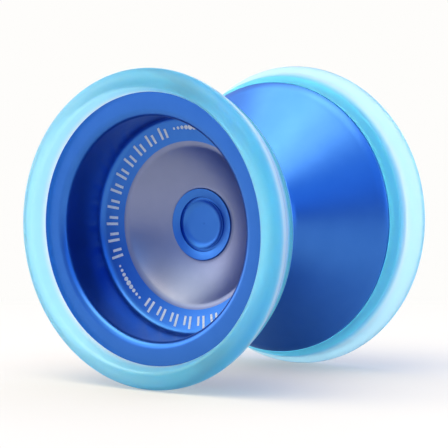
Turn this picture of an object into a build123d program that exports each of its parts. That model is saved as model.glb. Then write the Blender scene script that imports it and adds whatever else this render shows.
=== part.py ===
from build123d import *
import os

# Hybrid yo-yo: two aluminium halves with plastic rim rings, screwed together
# on a threaded axle that carries a shielded ball bearing.
# The spin axis is +Y, the origin is midway between the halves and +Z is up.
# Half "a" is on the -Y side and half "b" on the +Y side. Units are millimetres.

# Driving dimensions, overall
OUTER_R = 28.0          # largest radius, on the rim rings
HALF_WIDTH = 24.8       # from the mid-plane to a rim ring's crest
GAP_HALF = 2.2          # half of the string gap

# Aluminium half
FACE_Y = 22.2           # flat annular outer face
SEAT_R = 23.87          # seat of the rim ring
SHOULDER_Y = 15.9       # shoulder the rim ring is pushed against
BEAD_Y = (17.0, 17.8, 19.4, 20.2)   # retaining groove in the seat
BEAD_DEPTH = 0.8
FLANGE_R = 25.07        # gap-side edge of the aluminium
FLANGE_Y = 15.2
CUP_R = 19.6            # cup wall
CUP_LIP_R = 1.4         # rounding of the cup's mouth
CUP_FLOOR_Y = 11.7      # floor of the cup where it would meet the wall
DISH_R = 15.0           # outer edge of the bare metal dish
DISH_Y = 10.57
DISH_LIP_R = 13.93      # rounded lip of the dish ends and its hollow begins
DISH_LIP_Y = 10.19
DISH_FOOT_R = 6.85      # hollow of the dish ends at the foot of the hub
DISH_FOOT_Y = 7.15
HUB_R = 6.43
HUB_Y = 7.62            # raised outer edge of the hub
HUB_INNER_Y = 7.28      # the hub's face slopes in to here
GROOVE_OUTER_R = 4.86   # groove between the hub's face and its centre
GROOVE_INNER_R = 4.40
GROOVE_Y = 6.75
CENTRE_EDGE_Y = 7.1     # raised edge of the hub's dished centre
CENTRE_FLAT_R = 3.1
CENTRE_Y = 6.72
CENTRE_MARK_R = 0.25    # small turned point on the axis
STEP_R = 10.7           # foot of the step up from the flat gap wall
CONE_INNER_R = 12.3     # catch cone, from the step to the rounded outer band
CONE_INNER_Y = 4.75
CONE_OUTER_R = 23.8
CONE_OUTER_Y = 13.95

# Bearing, size C: 6.35 bore, 12.7 outside diameter, 4.7625 wide
BEARING_BORE_R = 3.175
BEARING_R = 6.35
BEARING_HALF = 2.38125
INNER_RACE_R = 4.2
OUTER_RACE_BORE_R = 5.35
SHIELD_BORE_R = 5.86    # widened bore that takes the shields
SNAP_GROOVE_R = 6.02
BALL_R = 0.79375
BALL_COUNT = 10
PITCH_R = 4.7625
RACEWAY_R = 0.84
BALL_GAP = 0.015
SHIELD_IN = 1.93        # inner and outer face of a shield
SHIELD_OUT = 2.09
SNAP_OUT = 2.25

# Seat for the bearing, axle and response pads
POST_R = 3.16
POST_TIP_Y = 0.25
SHOULDER_R = 4.1
BEARING_SHOULDER_Y = 2.39
RECESS_R = 6.75
RECESS_Y = 2.8
PAD_INNER_R = 7.4
PAD_OUTER_R = 9.7
PAD_FRONT_Y = 2.3
PAD_BACK_Y = 3.4
PAD_GAP = 0.05

# Axle: M4 set screw, 10 long
AXLE_R = 1.97
AXLE_ROOT_R = 1.62
AXLE_HALF = 5.0
PITCH = 0.7
BORE_R = 2.02
BORE_DEPTH_Y = 5.3
BORE_POINT = 0.7        # height of the drill point at the bore's end
HEX_ACROSS = 2.0
HEX_DEPTH = 2.0


def corner(sketch, r, y):
    """The vertex of the sketch nearest to the point (r, y)."""
    return sketch.vertices().sort_by_distance((r, y, 0))[0]


def half_body(side):
    """One aluminium half, turned about the spin axis."""
    with BuildPart() as half:
        with BuildSketch(Plane.XY) as section:
            with BuildLine():
                # axle bore, bearing post, bearing recess and pad groove
                Polyline(
                    (0, side * (BORE_DEPTH_Y + BORE_POINT)),
                    (BORE_R, side * BORE_DEPTH_Y),
                    (BORE_R, side * (POST_TIP_Y + 0.25)),
                    (BORE_R + 0.25, side * POST_TIP_Y),
                    (POST_R - 0.2, side * POST_TIP_Y),
                    (POST_R, side * (POST_TIP_Y + 0.2)),
                    (POST_R, side * BEARING_SHOULDER_Y),
                    (SHOULDER_R, side * BEARING_SHOULDER_Y),
                    (SHOULDER_R, side * RECESS_Y),
                    (RECESS_R, side * RECESS_Y),
                    (RECESS_R, side * GAP_HALF),
                    (PAD_INNER_R - PAD_GAP, side * GAP_HALF),
                    (PAD_INNER_R - PAD_GAP, side * (PAD_BACK_Y + PAD_GAP)),
                    (PAD_OUTER_R + PAD_GAP, side * (PAD_BACK_Y + PAD_GAP)),
                    (PAD_OUTER_R + PAD_GAP, side * GAP_HALF),
                    (STEP_R, side * GAP_HALF),
                    (CONE_INNER_R, side * CONE_INNER_Y),
                )
                # slightly hollow catch cone
                ThreePointArc(
                    (CONE_INNER_R, side * CONE_INNER_Y),
                    (18.0, side * 9.45),
                    (CONE_OUTER_R, side * CONE_OUTER_Y),
                )
                # rounded band between the cone and the rim ring
                ThreePointArc(
                    (CONE_OUTER_R, side * CONE_OUTER_Y),
                    (24.5, side * 14.52),
                    (FLANGE_R, side * FLANGE_Y),
                )
                # ring seat, outer face and cup
                Polyline(
                    (FLANGE_R, side * FLANGE_Y),
                    (FLANGE_R, side * SHOULDER_Y),
                    (SEAT_R, side * SHOULDER_Y),
                    (SEAT_R, side * BEAD_Y[0]),
                    (SEAT_R - BEAD_DEPTH, side * BEAD_Y[1]),
                    (SEAT_R - BEAD_DEPTH, side * BEAD_Y[2]),
                    (SEAT_R, side * BEAD_Y[3]),
                    (SEAT_R, side * FACE_Y),
                    (CUP_R, side * FACE_Y),
                    (CUP_R, side * CUP_FLOOR_Y),
                    (DISH_R, side * DISH_Y),
                )
                # dish: a rounded lip, then a hollow down to the hub
                ThreePointArc(
                    (DISH_R, side * DISH_Y),
                    (14.44, side * 10.45),
                    (DISH_LIP_R, side * DISH_LIP_Y),
                )
                ThreePointArc(
                    (DISH_LIP_R, side * DISH_LIP_Y),
                    (10.55, side * 8.3),
                    (DISH_FOOT_R, side * DISH_FOOT_Y),
                )
                # hub: sloping face, groove and dished centre
                Polyline(
                    (DISH_FOOT_R, side * DISH_FOOT_Y),
                    (HUB_R, side * DISH_FOOT_Y),
                    (HUB_R, side * HUB_Y),
                    (GROOVE_OUTER_R, side * HUB_INNER_Y),
                    (GROOVE_OUTER_R, side * GROOVE_Y),
                    (GROOVE_INNER_R, side * GROOVE_Y),
                    (GROOVE_INNER_R, side * CENTRE_EDGE_Y),
                )
                ThreePointArc(
                    (GROOVE_INNER_R, side * CENTRE_EDGE_Y),
                    (3.8, side * 6.82),
                    (CENTRE_FLAT_R, side * CENTRE_Y),
                )
                Polyline(
                    (CENTRE_FLAT_R, side * CENTRE_Y),
                    (CENTRE_MARK_R, side * CENTRE_Y),
                    (0, side * (CENTRE_Y - 0.12)),
                    (0, side * (BORE_DEPTH_Y + BORE_POINT)),
                )
            make_face()
            fillet(corner(section, CUP_R, side * FACE_Y), CUP_LIP_R)
            fillet(corner(section, CUP_R, side * CUP_FLOOR_Y), 1.5)
            fillet(corner(section, HUB_R, side * DISH_FOOT_Y), 0.2)
            fillet(corner(section, HUB_R, side * HUB_Y), 0.12)
            fillet(corner(section, GROOVE_OUTER_R, side * HUB_INNER_Y), 0.15)
            fillet(corner(section, STEP_R, side * GAP_HALF), 1.2)
            fillet(corner(section, CONE_INNER_R, side * CONE_INNER_Y), 2.5)
            fillet(corner(section, SEAT_R, side * FACE_Y), 0.12)
        revolve(axis=Axis.Y)
    return half.part


def rim_ring(side):
    """Plastic ring on a half's rim, held by the seat and the shoulder."""
    bore = SEAT_R + 0.01
    lip = FLANGE_R + 0.02
    with BuildPart() as ring:
        with BuildSketch(Plane.XY) as section:
            with BuildLine():
                Polyline(
                    (bore, side * (FACE_Y + 0.15)),
                    (bore, side * (BEAD_Y[3] - 0.02)),
                    (bore - BEAD_DEPTH, side * (BEAD_Y[2] - 0.02)),
                    (bore - BEAD_DEPTH, side * (BEAD_Y[1] + 0.02)),
                    (bore, side * (BEAD_Y[0] + 0.02)),
                    (bore, side * SHOULDER_Y),
                    (lip, side * SHOULDER_Y),
                    (lip, side * FLANGE_Y),
                    (26.23, side * 17.8),
                )
                # bulged gap side
                ThreePointArc(
                    (26.23, side * 17.8),
                    (27.4, side * 20.0),
                    (OUTER_R, side * 22.4),
                )
                Polyline(
                    (OUTER_R, side * 22.4),
                    (OUTER_R, side * HALF_WIDTH),
                    (24.75, side * HALF_WIDTH),
                    (bore, side * (FACE_Y + 0.15)),
                )
            make_face()
            fillet(corner(section, OUTER_R, side * HALF_WIDTH), 2.15)
            fillet(corner(section, 24.75, side * HALF_WIDTH), 0.8)
        revolve(axis=Axis.Y)
    return ring.part


def response_pad(side):
    """Flat silicone ring glued into the groove round the bearing recess."""
    with BuildPart() as pad:
        with BuildSketch(Plane.XY) as section:
            with Locations(
                ((PAD_INNER_R + PAD_OUTER_R) / 2, side * (PAD_FRONT_Y + PAD_BACK_Y) / 2)
            ):
                Rectangle(PAD_OUTER_R - PAD_INNER_R, PAD_BACK_Y - PAD_FRONT_Y)
            fillet(section.vertices(), 0.12)
        revolve(axis=Axis.Y)
    return pad.part


def threaded_axle():
    """Set screw with ring-shaped thread ridges and a hexagon socket."""
    count = int((2 * AXLE_HALF - 1.0) / PITCH)
    start = -count * PITCH / 2
    with BuildPart() as screw:
        with BuildSketch(Plane.XY):
            with BuildLine():
                points = [(0, -AXLE_HALF), (1.45, -AXLE_HALF), (AXLE_ROOT_R, start)]
                for turn in range(count):
                    y = start + turn * PITCH
                    points.append((AXLE_R, y + PITCH * 0.42))
                    points.append((AXLE_R, y + PITCH * 0.58))
                    points.append((AXLE_ROOT_R, y + PITCH))
                points.append((1.45, AXLE_HALF))
                points.append((0, AXLE_HALF))
                Polyline(*points, close=True)
            make_face()
        revolve(axis=Axis.Y)
        with BuildSketch(Plane.XZ.offset(-AXLE_HALF)):
            RegularPolygon(HEX_ACROSS / 2, 6, major_radius=False)
        extrude(amount=HEX_DEPTH, mode=Mode.SUBTRACT)
    return screw.part


def inner_race():
    """Inner race with a raceway groove round its outside."""
    with BuildPart() as race:
        with BuildSketch(Plane.XY) as section:
            with Locations(((BEARING_BORE_R + INNER_RACE_R) / 2, 0)):
                Rectangle(INNER_RACE_R - BEARING_BORE_R, 2 * BEARING_HALF)
            fillet(section.vertices(), 0.15)
            with Locations((PITCH_R - BALL_R - BALL_GAP + RACEWAY_R, 0)):
                Circle(RACEWAY_R, mode=Mode.SUBTRACT)
        revolve(axis=Axis.Y)
    return race.part


def outer_race():
    """Outer race with a raceway, shield seats and snap ring grooves."""
    with BuildPart() as race:
        with BuildSketch(Plane.XY) as section:
            with BuildLine():
                points = [(BEARING_R, -BEARING_HALF), (BEARING_R, BEARING_HALF)]
                steps = [
                    (SHIELD_BORE_R, BEARING_HALF),
                    (SHIELD_BORE_R, SNAP_OUT),
                    (SNAP_GROOVE_R, SNAP_OUT),
                    (SNAP_GROOVE_R, SHIELD_OUT),
                    (SHIELD_BORE_R, SHIELD_OUT),
                    (SHIELD_BORE_R, SHIELD_IN),
                    (OUTER_RACE_BORE_R, SHIELD_IN),
                ]
                points += steps
                points += [(r, -y) for r, y in reversed(steps)]
                Polyline(*points, close=True)
            make_face()
            fillet(corner(section, BEARING_R, BEARING_HALF), 0.2)
            fillet(corner(section, BEARING_R, -BEARING_HALF), 0.2)
            with Locations((PITCH_R + BALL_R + BALL_GAP - RACEWAY_R, 0)):
                Circle(RACEWAY_R, mode=Mode.SUBTRACT)
        revolve(axis=Axis.Y)
    return race.part


def ball_set():
    """The ring of bearing balls."""
    with BuildPart() as balls:
        with Locations(Plane.XZ):
            with PolarLocations(PITCH_R, BALL_COUNT):
                Sphere(BALL_R)
    return balls.part


def ball_cage():
    """Crown retainer: a ring with one open pocket for each ball."""
    with BuildPart() as cage:
        with BuildSketch(Plane.XZ.offset(-0.6)):
            Circle(5.05)
            Circle(4.45, mode=Mode.SUBTRACT)
        extrude(amount=1.8)
        with Locations(Plane.XZ):
            with PolarLocations(PITCH_R, BALL_COUNT):
                Sphere(BALL_R + 0.06, mode=Mode.SUBTRACT)
    return cage.part


def shield(side):
    """Thin dust shield seated in the outer race."""
    with BuildPart() as plate:
        with BuildSketch(Plane.XY):
            with Locations(((4.35 + 5.84) / 2, side * (SHIELD_IN + SHIELD_OUT) / 2)):
                Rectangle(5.84 - 4.35, SHIELD_OUT - SHIELD_IN - 0.02)
        revolve(axis=Axis.Y)
    return plate.part


def snap_ring(side):
    """Split wire ring that holds a shield in place."""
    with BuildPart() as clip:
        with BuildSketch(Plane.XY):
            with Locations(((5.5 + 6.0) / 2, side * (SHIELD_OUT + SNAP_OUT) / 2)):
                Rectangle(0.5, SNAP_OUT - SHIELD_OUT - 0.02)
        revolve(axis=Axis.Y, revolution_arc=335)
    return clip.part


def save(part, name):
    part.label = name
    export_step(part, "parts/" + name + ".step")


os.makedirs("parts", exist_ok=True)
for name, side in (("a", -1), ("b", 1)):
    save(half_body(side), "body_" + name)
    save(rim_ring(side), "rim_ring_" + name)
    save(response_pad(side), "response_pad_" + name)
    save(shield(side), "bearing_shield_" + name)
    save(snap_ring(side), "snap_ring_" + name)
save(threaded_axle(), "axle")
save(inner_race(), "bearing_inner_race")
save(outer_race(), "bearing_outer_race")
save(ball_set(), "bearing_balls")
save(ball_cage(), "bearing_cage")
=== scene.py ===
import math

import bmesh
import bpy
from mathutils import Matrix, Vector


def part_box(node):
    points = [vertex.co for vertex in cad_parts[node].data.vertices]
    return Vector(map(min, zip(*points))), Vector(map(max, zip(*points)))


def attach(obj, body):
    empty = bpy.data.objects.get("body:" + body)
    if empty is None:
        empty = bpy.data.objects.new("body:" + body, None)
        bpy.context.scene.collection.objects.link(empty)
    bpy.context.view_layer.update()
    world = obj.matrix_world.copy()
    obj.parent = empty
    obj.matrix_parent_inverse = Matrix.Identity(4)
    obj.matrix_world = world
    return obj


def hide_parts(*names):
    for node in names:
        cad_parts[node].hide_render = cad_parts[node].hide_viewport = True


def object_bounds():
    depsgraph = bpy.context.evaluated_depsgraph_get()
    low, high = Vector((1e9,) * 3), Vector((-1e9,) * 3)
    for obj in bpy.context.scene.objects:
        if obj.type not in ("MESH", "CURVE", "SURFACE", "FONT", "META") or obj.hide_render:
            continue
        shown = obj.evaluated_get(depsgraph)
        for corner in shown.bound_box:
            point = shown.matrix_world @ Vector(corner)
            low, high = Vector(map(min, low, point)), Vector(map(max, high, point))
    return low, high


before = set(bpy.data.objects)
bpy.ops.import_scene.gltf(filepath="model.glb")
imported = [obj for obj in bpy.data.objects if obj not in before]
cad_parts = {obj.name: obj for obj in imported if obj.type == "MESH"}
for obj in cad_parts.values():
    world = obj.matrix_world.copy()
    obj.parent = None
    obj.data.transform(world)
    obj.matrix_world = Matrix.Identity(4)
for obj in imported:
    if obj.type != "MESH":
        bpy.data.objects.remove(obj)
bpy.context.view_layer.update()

MM = 0.001
ROUND = 192                 # steps round the larger turned pieces

# Sizes in millimetres, r from the spin axis and y from the mid-plane.
OUTER_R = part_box("rim_ring_b")[1].x / MM
HALF_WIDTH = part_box("rim_ring_b")[1].y / MM
FLANGE_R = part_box("body_b")[1].x / MM
FACE_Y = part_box("body_b")[1].y / MM
BEARING_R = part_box("bearing_outer_race")[1].x / MM
BEARING_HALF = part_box("bearing_outer_race")[1].y / MM
PAD_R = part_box("response_pad_b")[1].x / MM
PAD_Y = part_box("response_pad_b")[0].y / MM
AXLE_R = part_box("axle")[1].x / MM
AXLE_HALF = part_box("axle")[1].y / MM
SEAT_R = 23.87
FLANGE_Y = 15.2
SHOULDER_Y = 15.9
DISH_R = 15.0
DISH_Y = 10.57
CUP_R = 19.6
CUP_FLOOR_Y = 11.7
DISH_LIP = (13.93, 10.19)
DISH_FOOT = (6.85, 7.15)
HUB_R = 6.43
BORE_R = 2.02               # tapped hole
CONE_FOOT = (12.3, 4.75)
CONE_TOP = (23.8, 13.95)
SEAT_TOP = 20.2             # the seat's end nearest the face
BEAD_R = 23.07              # groove that the ring's bead sits in
RING_BAND = (26.35, 18.5)   # where the ring starts to swell
RING_SWELL = (27.15, 20.3)
RING_CREST_Y = 22.6
TICK_PITCH = 10             # degrees
DOT_PITCH = 2.9             # degrees
MARK_LIFT = 0.012           # of the marks over the cup floor
BALLS = 10
BALL_R = 0.79375
BALL_PITCH_R = 4.7625
THREAD_PITCH = 0.7


# ---------------------------------------------------------------- mesh code

def rounded(corners, steps=6):
    """Corners (r, y) or (r, y, radius) as a line of points with its corners rounded."""
    line = []
    for i, corner in enumerate(corners):
        r, y = corner[0], corner[1]
        radius = corner[2] if len(corner) > 2 else 0
        if not radius:
            line.append((r, y))
            continue
        here = Vector((r, y))
        back = (Vector(corners[i - 1][:2]) - here).normalized()
        ahead = (Vector(corners[i + 1][:2]) - here).normalized()
        half = back.angle(ahead) / 2
        reach = radius / math.tan(half)
        centre = here + (back + ahead).normalized() * (radius / math.sin(half))
        first = here + back * reach - centre
        last = here + ahead * reach - centre
        turn = first.angle(last)
        for k in range(steps + 1):
            a = math.sin(turn * (1 - k / steps)) / math.sin(turn)
            b = math.sin(turn * k / steps) / math.sin(turn)
            p = centre + first * a + last * b
            line.append((p.x, p.y))
    return line


def arc(start, middle, end, steps=10):
    """Points on the circle through three points, from start to end."""
    (x1, y1), (x2, y2), (x3, y3) = start, middle, end
    d = 2 * (x1 * (y2 - y3) + x2 * (y3 - y1) + x3 * (y1 - y2))
    s1, s2, s3 = x1 * x1 + y1 * y1, x2 * x2 + y2 * y2, x3 * x3 + y3 * y3
    cx = (s1 * (y2 - y3) + s2 * (y3 - y1) + s3 * (y1 - y2)) / d
    cy = (s1 * (x3 - x2) + s2 * (x1 - x3) + s3 * (x2 - x1)) / d
    radius = math.hypot(x1 - cx, y1 - cy)
    a1 = math.atan2(y1 - cy, x1 - cx)
    a3 = math.atan2(y3 - cy, x3 - cx)
    sweep = (a3 - a1 + math.pi) % (2 * math.pi) - math.pi
    return [
        (cx + radius * math.cos(a1 + sweep * k / steps), cy + radius * math.sin(a1 + sweep * k / steps))
        for k in range(steps + 1)
    ]


def new_object(name, points, faces, materials, slots=None, sharp=35):
    """A smooth-shaded mesh object in metres from points in millimetres, faces outward."""
    mesh = bpy.data.meshes.new(name)
    mesh.from_pydata([(x * MM, y * MM, z * MM) for x, y, z in points], [], faces)
    for material in materials:
        mesh.materials.append(material)
    if slots:
        mesh.polygons.foreach_set("material_index", slots)
    work = bmesh.new()
    work.from_mesh(mesh)
    bmesh.ops.remove_doubles(work, verts=work.verts[:], dist=1e-7)
    closed = all(edge.is_manifold for edge in work.edges)
    if closed and work.calc_volume(signed=True) < 0:
        bmesh.ops.reverse_faces(work, faces=work.faces[:])
    work.to_mesh(mesh)
    work.free()
    mesh.polygons.foreach_set("use_smooth", [True] * len(mesh.polygons))
    mesh.set_sharp_from_angle(angle=math.radians(sharp))
    mesh.update()
    made = bpy.data.objects.new(name, mesh)
    bpy.context.scene.collection.objects.link(made)
    return made


def turned(name, sections, side, materials, around=ROUND, sweep=360):
    """A closed outline turned about the spin axis. sections is a list of (line, material number)."""
    line, numbers = [], []
    for section, number in sections:
        for point in section:
            if line and math.dist(line[-1], point) < 1e-6:
                continue
            if line:
                numbers.append(number)
            line.append(point)
    if math.dist(line[0], line[-1]) < 1e-6:
        line.pop()
    else:
        numbers.append(sections[-1][1])
    full = sweep >= 360
    columns = around if full else around + 1
    points, rows = [], []
    for r, y in line:
        if r < 1e-6:
            rows.append([len(points)] * columns)
            points.append((0, side * y, 0))
            continue
        rows.append(range(len(points), len(points) + columns))
        for k in range(columns):
            a = math.radians(sweep * k / around)
            points.append((r * math.cos(a), side * y, r * math.sin(a)))
    faces, slots = [], []
    count = len(line)
    for i in range(count):
        low, high = rows[i], rows[(i + 1) % count]
        if low[0] == low[-1] and high[0] == high[-1]:
            continue
        for k in range(around):
            m = (k + 1) % columns
            loop = [low[k], low[m], high[m], high[k]]
            loop = [v for n, v in enumerate(loop) if v != loop[n - 1]]
            if len(loop) > 2:
                faces.append(loop if side > 0 else loop[::-1])
                slots.append(numbers[i])
    if not full:
        ends = [rows[i][0] for i in range(count)], [rows[i][-1] for i in range(count)]
        faces.append(ends[0] if side < 0 else ends[0][::-1])
        faces.append(ends[1][::-1] if side < 0 else ends[1])
        slots += [0, 0]
    return new_object(name, points, faces, materials, slots)


# ---------------------------------------------------------------- materials

class Nodes:
    """Short names for building one material's nodes."""

    def __init__(self, name):
        self.material = bpy.data.materials.new(name)
        self.material.use_nodes = True
        self.tree = self.material.node_tree
        self.shader = self.tree.nodes["Principled BSDF"]
        self.place = self.add("ShaderNodeTexCoord").outputs["Object"]

    def add(self, kind, **facts):
        node = self.tree.nodes.new(kind)
        for key, value in facts.items():
            setattr(node, key, value)
        return node

    def link(self, a, b):
        self.tree.links.new(a, b)

    def set(self, **values):
        """Uniform values on the shader, with _ for each space in a socket's name."""
        for key, value in values.items():
            self.shader.inputs[key.replace("_", " ")].default_value = value

    def noise(self, scale, detail=3.0, stretch=None):
        node = self.add("ShaderNodeTexNoise")
        node.inputs["Scale"].default_value = scale
        node.inputs["Detail"].default_value = detail
        if stretch:
            mapping = self.add("ShaderNodeMapping")
            mapping.inputs["Scale"].default_value = stretch
            self.link(self.place, mapping.inputs["Vector"])
            self.link(mapping.outputs["Vector"], node.inputs["Vector"])
        else:
            self.link(self.place, node.inputs["Vector"])
        return node.outputs["Fac"]

    def ranged(self, value, low, high, from_low=0.3, from_high=0.7):
        node = self.add("ShaderNodeMapRange")
        node.inputs["From Min"].default_value = from_low
        node.inputs["From Max"].default_value = from_high
        node.inputs["To Min"].default_value = low
        node.inputs["To Max"].default_value = high
        self.link(value, node.inputs["Value"])
        return node.outputs["Result"]

    def ramp(self, value, stops):
        node = self.add("ShaderNodeValToRGB")
        ramp = node.color_ramp
        while len(ramp.elements) < len(stops):
            ramp.elements.new(0.5)
        for element, (at, colour) in zip(ramp.elements, stops):
            element.position = at
            element.color = (*colour, 1)
        self.link(value, node.inputs["Fac"])
        return node.outputs["Color"]

    def colour(self, value, low, high):
        """Base colour that wanders between two colours."""
        self.link(self.ramp(value, [(0.3, low), (0.7, high)]), self.shader.inputs["Base Color"])

    def bump(self, height, strength, distance):
        node = self.add("ShaderNodeBump")
        node.inputs["Strength"].default_value = strength
        node.inputs["Distance"].default_value = distance
        self.link(height, node.inputs["Height"])
        self.link(node.outputs["Normal"], self.shader.inputs["Normal"])

    def radius(self):
        """Distance from the spin axis, in metres."""
        split = self.add("ShaderNodeSeparateXYZ")
        self.link(self.place, split.inputs["Vector"])
        flat = self.add("ShaderNodeCombineXYZ")
        self.link(split.outputs["X"], flat.inputs["X"])
        self.link(split.outputs["Z"], flat.inputs["Z"])
        length = self.add("ShaderNodeVectorMath", operation="LENGTH")
        self.link(flat.outputs["Vector"], length.inputs[0])
        return length.outputs["Value"]


def blue_anodised():
    """Fine-blasted blue metal under the thin clear layer of its anodising."""
    n = Nodes("blue_anodised")
    n.set(Metallic=1.0, Coat_Weight=0.22, Coat_Roughness=0.3)
    n.colour(n.noise(260, 4), (0.027, 0.138, 0.495), (0.031, 0.147, 0.515))
    n.link(n.ranged(n.noise(900, 3), 0.28, 0.31), n.shader.inputs["Roughness"])
    n.bump(n.noise(9000, 2), 0.35, 0.00003)
    return n.material


def bare_metal():
    """Satin metal of the dish."""
    n = Nodes("bare_aluminium")
    n.set(Metallic=1.0)
    n.colour(n.noise(300, 4), (0.190, 0.220, 0.36), (0.20, 0.230, 0.375))
    n.link(n.ranged(n.noise(1100, 3), 0.32, 0.36), n.shader.inputs["Roughness"])
    n.bump(n.noise(9000, 2), 0.35, 0.00003)
    return n.material


def etched():
    """Pale grey left where the colour is burned off."""
    n = Nodes("laser_etched")
    n.set(Metallic=0.3)
    n.colour(n.noise(5000, 3), (0.56, 0.60, 0.66), (0.70, 0.74, 0.80))
    n.link(n.ranged(n.noise(4000, 3), 0.5, 0.7), n.shader.inputs["Roughness"])
    n.bump(n.noise(12000, 2), 0.4, 0.00003)
    return n.material


def cyan_plastic():
    """Frosted plastic whose colour holds painted light: deeper at the lip where metal lies behind it
    and round the rim's corner, a painted shade in the crease past the lip, and a pale painted glow on
    the swell where light from behind comes through.

    The small emission stands in for light that the plastic carries round inside it.
    """
    n = Nodes("frosted_cyan_plastic")
    n.set(
        IOR=1.38,
        Specular_IOR_Level=0.2,
        Transmission_Weight=0.8,
        Subsurface_Weight=1.0,
        Subsurface_Radius=(0.7, 1.0, 1.0),
        Subsurface_Scale=0.003,
        Emission_Strength=0.1,
    )
    split = n.add("ShaderNodeSeparateXYZ")
    n.link(n.place, split.inputs["Vector"])
    depth = n.add("ShaderNodeMath", operation="ABSOLUTE")
    n.link(split.outputs["Y"], depth.inputs[0])
    deep = (0.12, 0.78, 1.0)
    middle = (0.19, 0.70, 0.97)
    pale_glow = (0.76, 0.91, 1.0)
    crest = (0.28, 0.76, 0.98)
    # Painted light along the width: deep cyan over the metal at the lip, a painted shade in the crease
    # just past it, a pale painted glow on the swell, and mid cyan at the crest.
    along = n.ramp(
        n.ranged(depth.outputs["Value"], 0, 1, 0.0150, 0.0250),
        [(0.0, deep), (0.26, deep), (0.32, middle), (0.42, pale_glow), (0.74, pale_glow), (0.90, middle)],
    )
    # Across the crest the colour is painted deeper towards the rim's outer corner.
    across = n.ramp(
        n.ranged(n.radius(), 0, 1, 0.0238, 0.0280),
        [(0.0, crest), (0.66, crest), (0.86, middle)],
    )
    both = n.add("ShaderNodeMixRGB")
    n.link(n.ranged(depth.outputs["Value"], 0, 1, 0.0222, 0.0234), both.inputs["Fac"])
    n.link(along, both.inputs["Color1"])
    n.link(across, both.inputs["Color2"])
    cloud = n.add("ShaderNodeMixRGB", blend_type="MULTIPLY")
    cloud.inputs["Fac"].default_value = 1
    n.link(both.outputs["Color"], cloud.inputs["Color1"])
    faint = n.ramp(n.noise(140, 3), [(0.3, (0.96, 0.985, 0.99)), (0.7, (1, 1, 1))])
    n.link(faint, cloud.inputs["Color2"])
    n.link(cloud.outputs["Color"], n.shader.inputs["Base Color"])
    # The same painted colour also glows faintly as emission.
    n.link(cloud.outputs["Color"], n.shader.inputs["Emission Color"])
    n.link(n.ranged(n.noise(1500, 3), 0.36, 0.42), n.shader.inputs["Roughness"])
    n.bump(n.noise(7000, 2), 0.25, 0.00003)
    return n.material


def steel(name, low, high, rough, stretch=None):
    """Plain steel whose grain varies its colour, gloss and height together."""
    n = Nodes(name)
    n.set(Metallic=1.0)
    grain = n.noise(1800, 3, stretch)
    n.colour(grain, low, high)
    n.link(n.ranged(grain, rough, rough + 0.1), n.shader.inputs["Roughness"])
    n.bump(grain, 0.15, 0.00002)
    return n.material


def silicone():
    """Milky rubber of the response pads."""
    n = Nodes("silicone")
    n.set(Roughness=0.6, Subsurface_Weight=0.4, Subsurface_Scale=0.001)
    n.colour(n.noise(900, 3), (0.74, 0.74, 0.72), (0.82, 0.82, 0.80))
    n.bump(n.noise(6000, 3), 0.3, 0.00003)
    return n.material


BLUE = blue_anodised()
BARE = bare_metal()
ETCHED = etched()
CYAN = cyan_plastic()
SILICONE = silicone()
RACE = steel("ground_steel", (0.56, 0.56, 0.57), (0.64, 0.64, 0.65), 0.16, (1, 12, 1))
BALL = steel("polished_steel", (0.72, 0.72, 0.73), (0.76, 0.76, 0.77), 0.05)
SHEET = steel("pressed_steel", (0.50, 0.50, 0.51), (0.60, 0.60, 0.61), 0.25)
SPRING = steel("spring_steel", (0.36, 0.36, 0.37), (0.44, 0.44, 0.45), 0.28)
AXLE = steel("axle_steel", (0.40, 0.40, 0.41), (0.52, 0.52, 0.53), 0.28)


# ---------------------------------------------------------------- the object

def floor_height(r):
    """Height of the cup floor's sloping band, where the ticks are."""
    return DISH_Y + (r - DISH_R) * (CUP_FLOOR_Y - DISH_Y) / (CUP_R - DISH_R)


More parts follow.
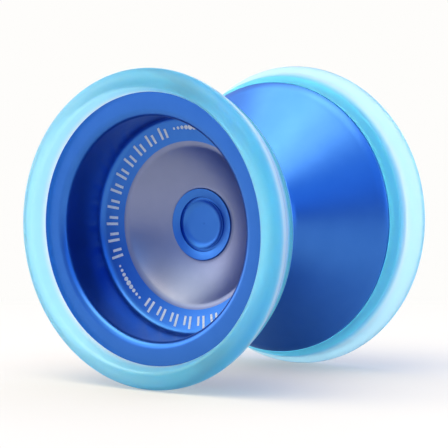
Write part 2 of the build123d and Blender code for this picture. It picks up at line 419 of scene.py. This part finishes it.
def metal_half(name, side):
    """One half as a single outline: gap side, cone, ring seat, cup, dish, hub and tapped hole."""
    outside = rounded([
        (BORE_R, 0.5),
        (2.27, 0.25),
        (2.96, 0.25),
        (3.16, 0.45),
        (3.16, 2.39),
        (4.1, 2.39),
        (4.1, 2.8),
        (6.75, 2.8, 0.12),
        (6.75, 2.2, 0.06),
        (7.35, 2.2, 0.06),
        (7.35, 3.45),
        (9.75, 3.45),
        (9.75, 2.2, 0.08),
        (10.7, 2.2, 1.2),
        (*CONE_FOOT, 2.5),
        (12.62, 5.04),
    ], 5)
    cone = arc(CONE_FOOT, (18.0, 9.45), CONE_TOP, 24)[2:]
    band = arc(CONE_TOP, (24.5, 14.52), (FLANGE_R, FLANGE_Y), 8)
    seat = [
        (FLANGE_R, FLANGE_Y),
        (FLANGE_R, SHOULDER_Y),
        (SEAT_R, SHOULDER_Y),
        (SEAT_R, 17.0),
        (BEAD_R, 17.8),
        (BEAD_R, 19.4),
        (SEAT_R, SEAT_TOP),
    ]
    cup = rounded([
        (SEAT_R, SEAT_TOP),
        (SEAT_R, FACE_Y, 0.12),
        (CUP_R, FACE_Y, 1.4),
        (CUP_R, CUP_FLOOR_Y, 1.5),
        (DISH_R, DISH_Y),
    ], 10)
    lip = arc((DISH_R, DISH_Y), (14.44, 10.45), DISH_LIP, 8)
    hollow = arc(DISH_LIP, (10.55, 8.3), DISH_FOOT, 20)
    foot = rounded([DISH_FOOT, (HUB_R, DISH_FOOT[1], 0.2), (HUB_R, 7.5)], 5)
    hub = rounded([
        (HUB_R, 7.5),
        (HUB_R, 7.62, 0.1),
        (4.86, 7.28, 0.16),
        (4.86, 6.75),
        (4.40, 6.75),
        (4.40, 7.1, 0.08),
        (4.3, 7.04),
    ], 6)
    centre = arc((4.3, 7.04), (3.8, 6.82), (3.1, 6.72), 10)
    centre += [(2.0, 6.72), (0.34, 6.72), (0.25, 6.72), (0.0, 6.6)]
    bore = [(0.0, 6.0), (BORE_R, 5.3), (BORE_R, 0.5)]
    sections = [
        (outside, 0), (cone, 0), (band, 0), (seat, 0), (cup, 0),
        (lip, 1), (hollow, 1), (foot, 1), (hub, 0), (centre, 0), (bore, 0),
    ]
    return turned(name, sections, side, [BLUE, BARE])


def etched_marks(name, side):
    """Short and long ticks in pairs round the cup floor, and dots between the groups."""
    points, faces = [], []

    def patch(r0, r1, angle, width):
        a = math.radians(angle)
        out = Vector((math.cos(a), 0, math.sin(a)))
        across = Vector((-math.sin(a), 0, math.cos(a)))
        steps = 3
        base = len(points)
        for k in range(steps + 1):
            r = r0 + (r1 - r0) * k / steps
            for w in (-0.5, 0.5):
                p = out * r + across * (w * width)
                points.append((p.x, side * (floor_height(math.hypot(p.x, p.z)) + MARK_LIFT), p.z))
        for k in range(steps):
            loop = [base + 2 * k, base + 2 * k + 1, base + 2 * k + 3, base + 2 * k + 2]
            faces.append(loop if side > 0 else loop[::-1])

    def dot(r, angle, size):
        a = math.radians(angle)
        cx, cz = r * math.cos(a), r * math.sin(a)
        base = len(points)
        for k in range(12):
            b = math.radians(30 * k)
            x, z = cx + size * math.cos(b), cz + size * math.sin(b)
            points.append((x, side * (floor_height(math.hypot(x, z)) + MARK_LIFT), z))
        loop = list(range(base, base + 12))
        faces.append(loop[::-1] if side > 0 else loop)

    inner_r, short_r, long_r, width = 16.2, 17.85, 18.4, 0.48
    for first, pairs in ((107.5, 10), (236.6, 10), (6.9, 7)):
        for pair in range(pairs):
            angle = first + TICK_PITCH * pair
            patch(inner_r, short_r, angle, width)
            patch(inner_r, long_r, angle + 3.85, width)
    for middle in (89.2, 218.9, 348.8):
        for k in range(-4, 5):
            dot(17.45, middle + DOT_PITCH * k, 0.46 - 0.06 * abs(k))
    return new_object(name, points, faces, [ETCHED], sharp=180)


def plastic_ring(name, side):
    """Rim ring with a retaining bead inside and a lip over the metal's flange."""
    bore, lip, bead = SEAT_R + 0.01, FLANGE_R + 0.02, BEAD_R + 0.01
    face = (bore, FACE_Y + 0.15)
    inside = [face, (bore, 20.18), (bead, 19.38), (bead, 17.82), (bore, 17.02), (bore, SHOULDER_Y)]
    outside = rounded([
        (bore, SHOULDER_Y),
        (lip, SHOULDER_Y),
        (lip, FLANGE_Y, 0.12),
        (26.2, 17.6, 0.15),
        (26.15, 17.95, 0.12),
        RING_BAND,
    ], 4)
    bulge = arc(RING_BAND, (26.7, 19.4), RING_SWELL, 6)
    bulge += arc(RING_SWELL, (27.7, 21.4), (OUTER_R, RING_CREST_Y), 10)[1:]
    crest = rounded([
        (OUTER_R, RING_CREST_Y),
        (OUTER_R, HALF_WIDTH, 2.1),
        (24.75, HALF_WIDTH, 0.8),
        face,
    ], 12)
    return turned(name, [(inside, 0), (outside, 0), (bulge, 0), (crest, 0)], side, [CYAN])


def pad(name, side):
    """Silicone response pad, a flat washer in its groove."""
    line = rounded([
        (7.4, 3.0),
        (7.4, PAD_Y, 0.12),
        (PAD_R, PAD_Y, 0.12),
        (PAD_R, 3.4),
        (7.4, 3.4),
    ], 4)
    return turned(name, [(line, 0)], side, [SILICONE], 128)


def bearing_pieces():
    """Races, dust shields and wire rings of the size C bearing, each on its own body."""
    race = rounded([
        (BEARING_R, 0),
        (BEARING_R, BEARING_HALF, 0.2),
        (5.86, BEARING_HALF),
        (5.86, 2.25),
        (6.02, 2.25),
        (6.02, 2.09),
        (5.86, 2.09),
        (5.86, 1.93),
        (5.35, 1.93),
        (5.35, 0.56),
    ], 4)
    race += [(5.44, 0.45), (5.53, 0.25), (5.571, 0)]
    line = [(r, -y) for r, y in reversed(race[1:-1])]
    outer = turned("outer_race", [(race + line, 0)], 1, [RACE], 128)
    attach(outer, "bearing_outer")
    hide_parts("bearing_outer_race")

    race = rounded([(4.2, 0.59), (4.2, BEARING_HALF, 0.15), (3.175, BEARING_HALF, 0.15), (3.175, 0)], 4)
    race = [(3.954, 0), (4.0, 0.25), (4.1, 0.45)] + race
    line = [(r, -y) for r, y in reversed(race[1:-1])]
    inner = turned("inner_race", [(race + line, 0)], 1, [RACE], 96)
    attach(inner, "half_a")
    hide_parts("bearing_inner_race")

    for letter, side in (("a", -1), ("b", 1)):
        line = rounded([
            (4.35, 1.94),
            (4.35, 2.08, 0.05),
            (4.6, 2.08, 0.1),
            (4.75, 2.03, 0.1),
            (5.4, 2.03, 0.1),
            (5.5, 2.08, 0.1),
            (5.84, 2.08),
            (5.84, 1.94),
        ], 3)
        plate = turned("dust_shield_" + letter, [(line, 0)], side, [SHEET], 96)
        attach(plate, "bearing_outer")
        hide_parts("bearing_shield_" + letter)
        line = rounded([
            (5.5, 2.17),
            (5.5, 2.24, 0.05),
            (6.0, 2.24, 0.05),
            (6.0, 2.1, 0.05),
            (5.5, 2.1, 0.05),
            (5.5, 2.17),
        ], 3)
        clip = turned("wire_ring_" + letter, [(line, 0)], side, [SPRING], 96, sweep=335)
        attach(clip, "bearing_outer")
        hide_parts("snap_ring_" + letter)


def ball_mesh():
    """Ten balls as one mesh of latitude and longitude faces."""
    points, faces = [], []
    rings, columns = 10, 16
    for ball in range(BALLS):
        a = math.radians(360 / BALLS * ball)
        cx, cz = BALL_PITCH_R * math.cos(a), -BALL_PITCH_R * math.sin(a)
        base = len(points)
        for i in range(rings + 1):
            tilt = math.pi * i / rings
            for k in range(columns):
                b = 2 * math.pi * k / columns
                points.append((
                    cx + BALL_R * math.sin(tilt) * math.cos(b),
                    BALL_R * math.cos(tilt),
                    cz + BALL_R * math.sin(tilt) * math.sin(b),
                ))
        for i in range(rings):
            for k in range(columns):
                m = (k + 1) % columns
                low, high = base + i * columns, base + (i + 1) * columns
                faces.append([low + k, low + m, high + m, high + k])
    return new_object("balls", points, faces, [BALL], sharp=180)


def axle_screw():
    """M4 set screw with a helical thread and a hexagon socket."""
    points, faces = [], []
    around, rows = 48, 180
    root, tip = 1.62, 1.45      # thread root, and the narrow end of the chamfer
    for i in range(rows + 1):
        y = -AXLE_HALF + 2 * AXLE_HALF * i / rows
        end = min(1.0, (AXLE_HALF - abs(y)) / 0.45)
        for k in range(around):
            turn = k / around
            phase = (y / THREAD_PITCH + turn) % 1
            wave = 1 - abs(2 * phase - 1)
            depth = min(1.0, max(0.0, wave * 1.35 - 0.15))
            r = root + (AXLE_R - root) * depth
            r = min(r, tip + (AXLE_R - tip) * end)
            a = 2 * math.pi * turn
            points.append((r * math.cos(a), y, r * math.sin(a)))
    for i in range(rows):
        for k in range(around):
            m = (k + 1) % around
            low, high = i * around, (i + 1) * around
            faces.append([low + k, low + m, high + m, high + k])
    faces.append(list(range(around))[::-1])
    rim = rows * around
    socket = []
    for depth in (0.0, 2.0):
        base = len(points)
        socket.append(base)
        for k in range(around):
            a = 2 * math.pi * k / around
            sector = (a + math.pi / 6) % (math.pi / 3) - math.pi / 6
            r = 1.0 / math.cos(sector)
            points.append((r * math.cos(a), AXLE_HALF - depth, r * math.sin(a)))
    for k in range(around):
        m = (k + 1) % around
        faces.append([rim + k, rim + m, socket[0] + m, socket[0] + k])
        faces.append([socket[0] + k, socket[0] + m, socket[1] + m, socket[1] + k])
    faces.append([socket[1] + k for k in range(around)])
    return new_object("axle_screw", points, faces, [AXLE], sharp=50)


for letter, side in (("a", -1), ("b", 1)):
    half = metal_half("metal_half_" + letter, side)
    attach(half, "half_" + letter)
    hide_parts("body_" + letter)

    marks = etched_marks("etched_marks_" + letter, side)
    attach(marks, "half_" + letter)

    ring = plastic_ring("plastic_rim_" + letter, side)
    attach(ring, "half_" + letter)
    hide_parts("rim_ring_" + letter)

    washer = pad("friction_pad_" + letter, side)
    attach(washer, "half_a" if letter == "a" else "half_b_carrier")
    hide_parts("response_pad_" + letter)

bearing_pieces()

balls = ball_mesh()
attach(balls, "ball_train")
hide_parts("bearing_balls")

screw = axle_screw()
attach(screw, "half_a")
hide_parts("axle")

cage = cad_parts["bearing_cage"]
cage.data.materials.clear()
cage.data.materials.append(SHEET)


# ---------------------------------------------------------------- camera

AZIMUTH, ELEVATION = math.radians(35.63), math.radians(4.144)
DISTANCE = 0.4307
SHIFT_RIGHT, SHIFT_UP = -0.00030, -0.00037
back = Vector((
    math.sin(AZIMUTH) * math.cos(ELEVATION),
    -math.cos(AZIMUTH) * math.cos(ELEVATION),
    math.sin(ELEVATION),
))
right = Vector((math.cos(AZIMUTH), math.sin(AZIMUTH), 0))
up = back.cross(right)
camera = bpy.data.objects.new("camera", bpy.data.cameras.new("camera"))
bpy.context.scene.collection.objects.link(camera)
camera.location = back * DISTANCE + right * SHIFT_RIGHT + up * SHIFT_UP
camera.rotation_mode = "QUATERNION"
camera.rotation_quaternion = (-back).to_track_quat("-Z", "Y")
camera.data.sensor_width = 36
camera.data.lens = 191.1
camera.data.clip_start = 0.01
camera.data.clip_end = 20
bpy.context.scene.camera = camera


# ---------------------------------------------------------------- floor and light

BACKDROP = (0.991, 0.982, 0.965)
FLOOR_WASH = 0.3            # share of plain white in the floor as it is seen
FLOOR_HALF = 2500           # mm


def floor_plane():
    """Matt pale floor that runs into the white backdrop, and is seen a little overexposed."""
    n = Nodes("pale_floor")
    n.set(Roughness=0.7, Base_Color=(0.60, 0.59, 0.575, 1), Specular_IOR_Level=0.2)
    along = n.add("ShaderNodeVectorMath", operation="DOT_PRODUCT")
    along.inputs[1].default_value = (-back.x, -back.y, 0)
    n.link(n.place, along.inputs[0])
    fade = n.ranged(along.outputs["Value"], FLOOR_WASH, 1, 0.03, 0.13)
    seen = n.add("ShaderNodeMath", operation="MULTIPLY")
    n.link(fade, seen.inputs[0])
    n.link(n.add("ShaderNodeLightPath").outputs["Is Camera Ray"], seen.inputs[1])
    bright = n.add("ShaderNodeEmission")
    bright.inputs["Color"].default_value = (*BACKDROP, 1)
    mix = n.add("ShaderNodeMixShader")
    n.link(seen.outputs["Value"], mix.inputs["Fac"])
    n.link(n.shader.outputs["BSDF"], mix.inputs[1])
    n.link(bright.outputs["Emission"], mix.inputs[2])
    n.link(mix.outputs["Shader"], n.tree.nodes["Material Output"].inputs["Surface"])
    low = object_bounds()[0].z / MM
    steps = 10
    points = [
        (FLOOR_HALF * (2 * i / steps - 1), FLOOR_HALF * (2 * k / steps - 1), low)
        for i in range(steps + 1)
        for k in range(steps + 1)
    ]
    row = steps + 1
    faces = [
        [i * row + k, (i + 1) * row + k, (i + 1) * row + k + 1, i * row + k + 1]
        for i in range(steps)
        for k in range(steps)
    ]
    plane = new_object("floor", points, faces, [n.material])


# Soft lights on a large dome: azimuth from +X toward +Y and elevation of the middle,
# inner and outer half-angle, all in degrees, then the colour.
LIGHTS = (
    (0, 5, 4, 30, (0.72, 1.08, 1.51)),
    (30, 5, 4, 30, (1.04, 1.26, 1.47)),
    (60, 5, 4, 30, (1.57, 1.70, 1.73)),
    (90, 5, 4, 30, (1.30, 1.40, 1.56)),
    (120, 5, 4, 30, (0.69, 0.81, 0.95)),
    (150, 5, 4, 30, (0.59, 0.68, 0.78)),
    (180, 5, 4, 30, (1.46, 1.46, 1.56)),
    (210, 5, 4, 30, (1.98, 1.73, 1.52)),
    (240, 5, 4, 30, (0.20, 0.35, 0.68)),
    (270, 5, 4, 30, (0.14, 0.20, 0.41)),
    (300, 5, 4, 30, (0.14, 0.20, 0.41)),
    (330, 5, 4, 30, (0.14, 0.20, 0.41)),
    (0, 35, 6, 32, (0.27, 0.46, 0.75)),
    (45, 35, 6, 32, (0.68, 0.88, 1.32)),
    (90, 35, 6, 32, (0.84, 0.94, 1.23)),
    (135, 35, 6, 32, (0.17, 0.27, 0.48)),
    (180, 35, 6, 32, (1.11, 1.12, 1.29)),
    (225, 35, 6, 32, (2.27, 2.27, 1.88)),
    (270, 35, 6, 32, (0.55, 0.60, 0.66)),
    (315, 35, 6, 32, (0.32, 0.75, 1.24)),
    (0, 65, 6, 28, (0.84, 0.87, 1.24)),
    (72, 65, 6, 28, (0.27, 0.35, 0.78)),
    (144, 65, 6, 28, (0.49, 0.48, 0.66)),
    (216, 65, 6, 28, (3.40, 2.97, 1.86)),
    (288, 65, 6, 28, (4.36, 3.44, 2.14)),
    (0, 90, 5, 25, (1.11, 0.98, 1.02)),
)


def studio_world():
    """A dome of soft lights, and a plain backdrop where it is seen directly or through plastic."""
    world = bpy.data.worlds.new("studio")
    bpy.context.scene.world = world
    world.use_nodes = True
    tree = world.node_tree
    place = tree.nodes.new("ShaderNodeTexCoord").outputs["Generated"]
    total = None
    for azimuth, elevation, inner, outer, colour in LIGHTS:
        a, e = math.radians(azimuth), math.radians(elevation)
        toward = tree.nodes.new("ShaderNodeVectorMath")
        toward.operation = "DOT_PRODUCT"
        toward.inputs[1].default_value = (
            math.cos(e) * math.cos(a),
            math.cos(e) * math.sin(a),
            math.sin(e),
        )
        tree.links.new(place, toward.inputs[0])
        spread = tree.nodes.new("ShaderNodeMapRange")
        spread.interpolation_type = "SMOOTHSTEP"
        spread.inputs["From Min"].default_value = math.cos(math.radians(outer))
        spread.inputs["From Max"].default_value = math.cos(math.radians(inner))
        tree.links.new(toward.outputs["Value"], spread.inputs["Value"])
        tint = tree.nodes.new("ShaderNodeVectorMath")
        tint.operation = "MULTIPLY_ADD"
        tint.inputs[0].default_value = colour
        tree.links.new(spread.outputs["Result"], tint.inputs[1])
        if total:
            tree.links.new(total, tint.inputs[2])
        total = tint.outputs["Vector"]
    seen = tree.nodes.new("ShaderNodeMixRGB")
    seen.inputs["Color2"].default_value = (*BACKDROP, 1)
    rays = tree.nodes.new("ShaderNodeLightPath")
    either = tree.nodes.new("ShaderNodeMath")
    either.operation = "MAXIMUM"
    tree.links.new(rays.outputs["Is Camera Ray"], either.inputs[0])
    tree.links.new(rays.outputs["Is Transmission Ray"], either.inputs[1])
    tree.links.new(either.outputs["Value"], seen.inputs["Fac"])
    tree.links.new(total, seen.inputs["Color1"])
    tree.links.new(seen.outputs["Color"], tree.nodes["Background"].inputs["Color"])


floor_plane()
studio_world()

bpy.context.scene.view_settings.view_transform = "Standard"
